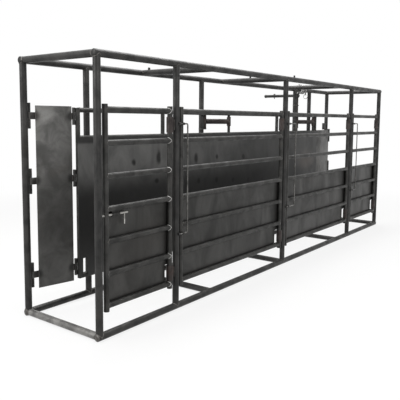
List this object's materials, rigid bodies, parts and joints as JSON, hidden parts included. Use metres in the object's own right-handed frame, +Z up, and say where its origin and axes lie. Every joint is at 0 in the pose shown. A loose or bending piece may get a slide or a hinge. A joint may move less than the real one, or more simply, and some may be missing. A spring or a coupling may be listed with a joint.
{
  "type": "adjustable livestock alley",
  "caption": "Tubular steel livestock alley: box frame, swing-out sheeted side gates with slide latches, and a long sheeted wall on swing arms that a lever moves to set the width.",
  "frame": {"origin": "on the ground, under the middle of the middle sill", "axes": "+X along the alley towards the exit, +Y towards the adjustable wall, +Z up"},
  "size_m": [5.8918, 1.49, 2.159],
  "materials": {
    "frame_steel": "bare dark mill scale",
    "gate_steel": "bare dark mill scale",
    "sheet_steel": "bare hot rolled sheet, smudged",
    "filler_steel": "bare hot rolled plate, worn grey",
    "rod_steel": "bright drawn bar",
    "hinge_steel": "dark with a little rust"
  },
  "bodies": {
    "root": {"front_top_rail": "frame_steel", "front_bottom_rail": "frame_steel", "rear_top_rail": "frame_steel", "rear_bottom_rail": "frame_steel", "front_post_1": "frame_steel", "front_post_2": "frame_steel", "front_post_3": "frame_steel", "front_post_4": "frame_steel", "front_post_5": "frame_steel", "rear_post_1": "frame_steel", "rear_post_2": "frame_steel", "rear_post_3": "frame_steel", "rear_post_4": "frame_steel", "rear_post_5": "frame_steel", "rear_post_6": "frame_steel", "sill_1": "frame_steel", "sill_2": "frame_steel", "sill_3": "frame_steel", "sill_4": "frame_steel", "sill_5": "frame_steel", "top_tie_1": "frame_steel", "top_tie_2": "frame_steel", "top_tie_3": "frame_steel", "top_tie_4": "frame_steel", "top_tie_5": "frame_steel", "gate_1_upper_hinge": "hinge_steel", "gate_1_lower_hinge": "hinge_steel", "gate_2_upper_hinge": "hinge_steel", "gate_2_lower_hinge": "hinge_steel", "gate_3_upper_hinge": "hinge_steel", "gate_3_lower_hinge": "hinge_steel", "gate_4_upper_hinge": "hinge_steel", "gate_4_lower_hinge": "hinge_steel", "tie_chain": "rod_steel", "tie_ring": "rod_steel"},
    "gate_1": {"gate_1_frame": "gate_steel", "gate_1_sheet": "sheet_steel"},
    "gate_2": {"gate_2_frame": "gate_steel", "gate_2_sheet": "sheet_steel"},
    "gate_3": {"gate_3_frame": "gate_steel", "gate_3_sheet": "sheet_steel"},
    "gate_4": {"gate_4_frame": "gate_steel", "gate_4_sheet": "sheet_steel"},
    "slide_bolt": {"slide_bolt_1": "rod_steel"},
    "latch_rod_2": {"latch_rod_2": "rod_steel"},
    "latch_rod_3": {"latch_rod_3": "rod_steel"},
    "latch_rod_4": {"latch_rod_4": "rod_steel"},
    "middle_arms": {"middle_lower_arm": "hinge_steel", "middle_upper_arm": "hinge_steel"},
    "lever_assembly": {"lever_shaft": "hinge_steel", "adjusting_lever": "frame_steel", "lever_pin": "rod_steel", "exit_lower_arm": "hinge_steel", "exit_upper_arm": "hinge_steel"},
    "wall": {"wall_frame": "gate_steel", "wall_sheet": "sheet_steel"},
    "entry_filler": {"entry_filler": "filler_steel"},
    "exit_filler": {"exit_filler": "filler_steel"}
  },
  "joints": [
    {"name": "gate_1_swing", "type": "hinge", "parent": "root", "child": "gate_1", "pos_m": [-1.992, -0.435, 0.975], "axis": [0, 0, 1], "range_deg": [0, 115]},
    {"name": "gate_2_swing", "type": "hinge", "parent": "root", "child": "gate_2", "pos_m": [-0.082, -0.435, 0.975], "axis": [0, 0, 1], "range_deg": [0, 115]},
    {"name": "gate_3_swing", "type": "hinge", "parent": "root", "child": "gate_3", "pos_m": [1.828, -0.435, 0.975], "axis": [0, 0, 1], "range_deg": [0, 115]},
    {"name": "gate_4_swing", "type": "hinge", "parent": "root", "child": "gate_4", "pos_m": [2.948, -0.435, 0.975], "axis": [0, 0, 1], "range_deg": [0, 115]},
    {"name": "slide_bolt_travel", "type": "slide", "parent": "gate_1", "child": "slide_bolt", "axis": [1, 0, 0], "range_m": [-0.03, 0]},
    {"name": "latch_rod_2_travel", "type": "slide", "parent": "gate_2", "child": "latch_rod_2", "axis": [1, 0, 0], "range_m": [-0.028, 0]},
    {"name": "latch_rod_3_travel", "type": "slide", "parent": "gate_3", "child": "latch_rod_3", "axis": [1, 0, 0], "range_m": [-0.028, 0]},
    {"name": "latch_rod_4_travel", "type": "slide", "parent": "gate_4", "child": "latch_rod_4", "axis": [1, 0, 0], "range_m": [-0.028, 0]},
    {"name": "wall_adjust", "type": "hinge", "parent": "root", "child": "middle_arms", "pos_m": [-0.355, 0.435, 0.975], "axis": [0, 0, -1], "range_deg": [0, 70]},
    {"name": "wall_keeps_parallel", "type": "hinge", "parent": "middle_arms", "child": "wall", "pos_m": [0.04164, 0.35826, 0.975], "axis": [0, 0, -1], "range_deg": [-70, 0]},
    {"name": "lever_turn", "type": "hinge", "parent": "root", "child": "lever_assembly", "pos_m": [1.975, 0.435, 0.975], "axis": [0, 0, -1], "range_deg": [0, 70]},
    {"name": "entry_filler_swing", "type": "hinge", "parent": "root", "child": "entry_filler", "pos_m": [-2.744, 0.435, 0.975], "axis": [0, 0, -1], "range_deg": [0, 70]},
    {"name": "exit_filler_swing", "type": "hinge", "parent": "root", "child": "exit_filler", "pos_m": [3.054, 0.389, 0.975], "axis": [0, 0, 1], "range_deg": [0, 45]}
  ],
  "couplings": [
    {"joint": "wall_keeps_parallel", "follows": "wall_adjust", "ratio": -1},
    {"joint": "lever_turn", "follows": "wall_adjust", "ratio": 1},
    {"joint": "entry_filler_swing", "follows": "wall_adjust", "ratio": 1}
  ]
}
